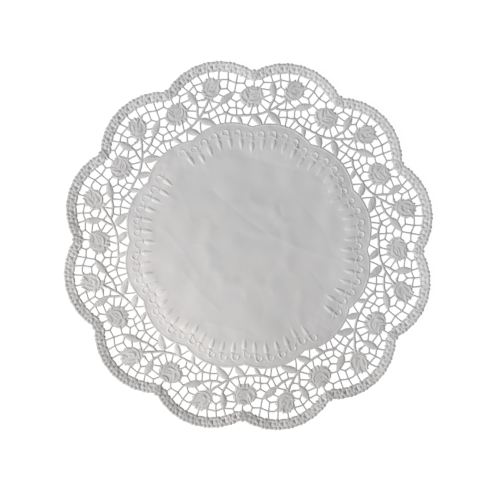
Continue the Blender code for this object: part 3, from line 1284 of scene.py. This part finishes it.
def lying(places):
    """The height of the sheet's top side at each place, before the die, in mm."""
    radius = np.hypot(*places.T)
    height = lift(places) + wavy(faint_waves, places) * np.interp(radius, *WAVES_GROW)
    height += wavy(crinkles, places) * np.interp(radius, *CRINKLES_GROW)
    for line, half, rise in CREASES:
        _, share, _ = across(np.array(line, float), np.array(half, float), places)
        height += rise * np.exp(-FOLD * share)
    for line, half, rise in dents:
        _, share, _ = across(np.array(line, float), np.array(half, float), places)
        height += rise * np.exp(-((DENT_FADE * share) ** 2))
    for middle, half, rise in SWELLS:
        height += rise * np.exp(-(((places - middle) ** 2).sum(axis=1)) / half**2)
    return height


print("height along the same ray, mm:", lying(ray).round(2))

# %% [markdown]
# ## Making the pieces
#
# The lace is made as six pieces of two lobes each, because a mesh this fine would otherwise be too
# big, and the plain middle is a seventh. Their borders share the same points, so together they are the
# one sheet. Each is a single layer at first. Solidify then gives it the paper's thickness, downwards,
# and its cut edges stay sharp while the relief is shaded smooth. The paper is also painted a little
# darker on one side and lighter round the disc's border on another: painted shade and painted light,
# as the sheet's broad slopes would be shaded and lit by the lamp.

# %% A piece
SHARP = 55  # degrees at an edge that stays sharp
DOUBLES = 0.008  # mm between points that become one
# Painted shade on one side of the sheet and painted light round the disc's border on another.
PAINTED_SIDE_LIGHT = (  # degrees clockwise from the notch, reach to either side, radii and what is added there
    (153, 36, (30, 90), (0, -0.09)),
    (228, 45, (50, 75, 105, 115), (0, 0.08, 0.08, 0)),
)


def painted_side_light(places):
    """How much painted light and shade is laid on the paper at each place, where 1 is as drawn."""
    light = np.ones(len(places))
    for side, reach, radii, added in PAINTED_SIDE_LIGHT:
        off = (clock(places) - side + 180) % 360 - 180
        light += np.interp(np.hypot(*places.T), radii, added) * np.exp(-((off / reach) ** 2))
    return light


def piece(name, xy, triangles, relief):
    """One layer of points and triangles made into a closed sheet of paper."""
    height = lying(xy) + relief.rise * pressure(xy)
    mesh = bpy.data.meshes.new(name)
    mesh.from_pydata((np.column_stack((xy, height)) * MM).tolist(), [], triangles.tolist())
    tone = mesh.attributes.new("tone", "FLOAT", "POINT")
    tone.data.foreach_set("value", (relief.tone * painted_side_light(xy)).astype(np.float32))
    made = bpy.data.objects.new(name, mesh)
    bpy.context.collection.objects.link(made)
    bpy.ops.object.select_all(action="DESELECT")
    made.select_set(True)
    bpy.context.view_layer.objects.active = made
    bpy.ops.object.mode_set(mode="EDIT")
    bpy.ops.mesh.select_all(action="SELECT")
    bpy.ops.mesh.remove_doubles(threshold=DOUBLES * MM)
    bpy.ops.object.mode_set(mode="OBJECT")
    solidify = made.modifiers.new("paper", "SOLIDIFY")
    solidify.thickness = SHEET * MM
    solidify.offset = -1
    bpy.ops.object.modifier_apply(modifier=solidify.name)
    bpy.ops.object.shade_smooth_by_angle(angle=math.radians(SHARP))
    bpy.ops.object.select_all(action="DESELECT")
    made.data.calc_loop_triangles()
    lowest = min(point.co.z for point in made.data.vertices) / MM
    print(name, "triangles:", len(made.data.loop_triangles), "lowest point, mm:", round(lowest, 2))
    return made


def lace(name, lobes):
    """Neighbouring lobes as one piece."""
    xy = [turned(lobe_xy, lobe * LOBE_TURN) for lobe in lobes]
    triangles = [lobe_triangles + i * len(lobe_xy) for i in range(len(lobes))]
    kinds = [reliefs[plain_near(lobe)] for lobe in lobes]
    relief = Relief(*(np.concatenate(values) for values in zip(*kinds)))
    return piece(name, np.concatenate(xy), np.concatenate(triangles), relief)


pieces = [lace(f"doily_lace_{number + 1}", (2 * number, 2 * number + 1)) for number in range(LOBES // 2)]

# %% [markdown]
# The plain middle is a round of the same honeycomb, but coarser, because it has no fine relief. The
# points of its ring are those of the lobes' inner ends, so the two meet without a step.

# %% Middle
MIDDLE_STEP = 1.15
RING_CLEAR = 0.6  # steps between the ring and the nearest honeycomb point

ring = at(CUT + np.linspace(0, 360, LOBES * RING_STEPS + 1), INNER)
comb = honeycomb(MIDDLE_STEP, (-INNER, -INNER), (INNER, INNER))
comb = comb[np.hypot(*comb.T) < INNER - RING_CLEAR * MIDDLE_STEP]
middle_xy, middle_triangles = triangulated([ring], comb)
middle_triangles = facing_up(middle_xy, middle_triangles)
flat = Relief(np.zeros(len(middle_xy)), painted_disc_light(middle_xy))
pieces.append(piece("doily_middle", middle_xy, middle_triangles, flat))
print("pieces:", len(pieces))

# %% [markdown]
# ## The paper's finish
#
# The paper is a soft grey-white with a dull sheen. Its colour is the tone of the relief, with the light
# and shade painted into it, clouded a little, because pulp is never quite even, and flecked with finer
# and paler fibres. It is painted a shade warmer towards the lower left than towards the upper right:
# painted light, the warm lamp's on one side and the cool surroundings' on the other. The fibres also
# roughen the surface, as a bump far smaller than the relief. All of it reads the object's own
# coordinates, so it stays with the sheet from every side.

# %% Paper material
# The paper's colour in the cool surroundings' light and in the warm lamp's light: painted light.
PAPER_IN_COOL_LIGHT = (0.530, 0.533, 0.543, 1)
PAPER_IN_WARM_LIGHT = (0.545, 0.533, 0.527, 1)
CLOUDS = dict(Scale=60, Detail=3)
CLOUD_TONES = (0.96, 1.04)
FIBRES = dict(Scale=1400, Detail=4, Distortion=1.2)
FIBRE_TONES = (0.95, 1.05)
WARM_LIGHT_WAY = (-4, -6, 0)  # warmth gained in each metre along X, Y and Z
WARM_LIGHT_START = -0.35
WARM_LIGHT_CLOUDS = dict(Scale=30)
WARM_LIGHT_CLOUD_SHARE = 1.6
BUMP = 0.35
BUMP_HEIGHT = 0.04 * MM
ROUGHNESS = 0.62
SHINE = 0.4

finish = bpy.data.materials.new("embossed_paper")
finish.use_nodes = True
nodes = finish.node_tree.nodes
links = finish.node_tree.links
place = nodes.new("ShaderNodeTexCoord").outputs["Object"]


def noise(settings):
    """A noise over the object's own coordinates."""
    node = nodes.new("ShaderNodeTexNoise")
    for name, value in settings.items():
        node.inputs[name].default_value = value
    links.new(place, node.inputs["Vector"])
    return node.outputs["Fac"]


def ranged(value, tones):
    """The value moved from 0 to 1 into a range of tones."""
    node = nodes.new("ShaderNodeMapRange")
    node.inputs["To Min"].default_value, node.inputs["To Max"].default_value = tones
    links.new(value, node.inputs["Value"])
    return node.outputs["Result"]


def worked_out(kind, operation, *values):
    """A node of that kind that works out its operation over links and constants."""
    node = nodes.new(kind)
    node.operation = operation
    for socket, value in zip(node.inputs, values):
        if isinstance(value, bpy.types.NodeSocket):
            links.new(value, socket)
        else:
            socket.default_value = value
    return node


print("material:", finish.name)

# %% [markdown]
# The cloud and fibre tones multiply the tone that was drawn, with its painted light and shade. The
# painted warm light is a slope across the sheet with a noise added to it, so its edge is no straight line.

# %% Colour and bump of the paper
fibres = noise(FIBRES)
drawn_tone = nodes.new("ShaderNodeAttribute")
drawn_tone.attribute_name = "tone"
clouded = worked_out(
    "ShaderNodeMath", "MULTIPLY", ranged(noise(CLOUDS), CLOUD_TONES), ranged(fibres, FIBRE_TONES)
)
toned = worked_out("ShaderNodeMath", "MULTIPLY", clouded.outputs[0], drawn_tone.outputs["Fac"])

lean = worked_out("ShaderNodeVectorMath", "DOT_PRODUCT", place, WARM_LIGHT_WAY)
start = worked_out("ShaderNodeMath", "ADD", lean.outputs["Value"], WARM_LIGHT_START)
painted_warm_light = worked_out(
    "ShaderNodeMath", "MULTIPLY_ADD", noise(WARM_LIGHT_CLOUDS), WARM_LIGHT_CLOUD_SHARE, start.outputs[0]
)
painted_warm_light.use_clamp = True
hue = nodes.new("ShaderNodeMix")
hue.data_type = "RGBA"
hue.inputs["A"].default_value = PAPER_IN_COOL_LIGHT
hue.inputs["B"].default_value = PAPER_IN_WARM_LIGHT
links.new(painted_warm_light.outputs[0], hue.inputs["Factor"])
colour = nodes.new("ShaderNodeVectorMath")
colour.operation = "SCALE"
links.new(hue.outputs["Result"], colour.inputs[0])
links.new(toned.outputs[0], colour.inputs["Scale"])

shader = nodes["Principled BSDF"]
shader.inputs["Roughness"].default_value = ROUGHNESS
shader.inputs["Specular IOR Level"].default_value = SHINE
links.new(colour.outputs["Vector"], shader.inputs["Base Color"])
bump = nodes.new("ShaderNodeBump")
bump.inputs["Strength"].default_value = BUMP
bump.inputs["Distance"].default_value = BUMP_HEIGHT
links.new(fibres, bump.inputs["Height"])
links.new(bump.outputs["Normal"], shader.inputs["Normal"])
for made in pieces:
    made.data.materials.append(finish)
print("nodes in the material:", len(nodes))

# %% [markdown]
# ## Handing over
#
# Every piece rides on the doily's one body, and the doily's CAD solid is hidden. Each is a sheet
# that lies on the table, and its flat size is that of the part of the sheet that it is. Its flat
# area is less than that size's, because of the gaps.

# %% Sheets
for made in pieces:
    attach(made, "root")
    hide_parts("doily")

# %% [markdown]
# Last, the box of all pieces is measured and printed.

# %% Sizes and finish
low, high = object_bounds()
print("the visual model's box in mm:", [round(1000 * side, 1) for side in high - low])
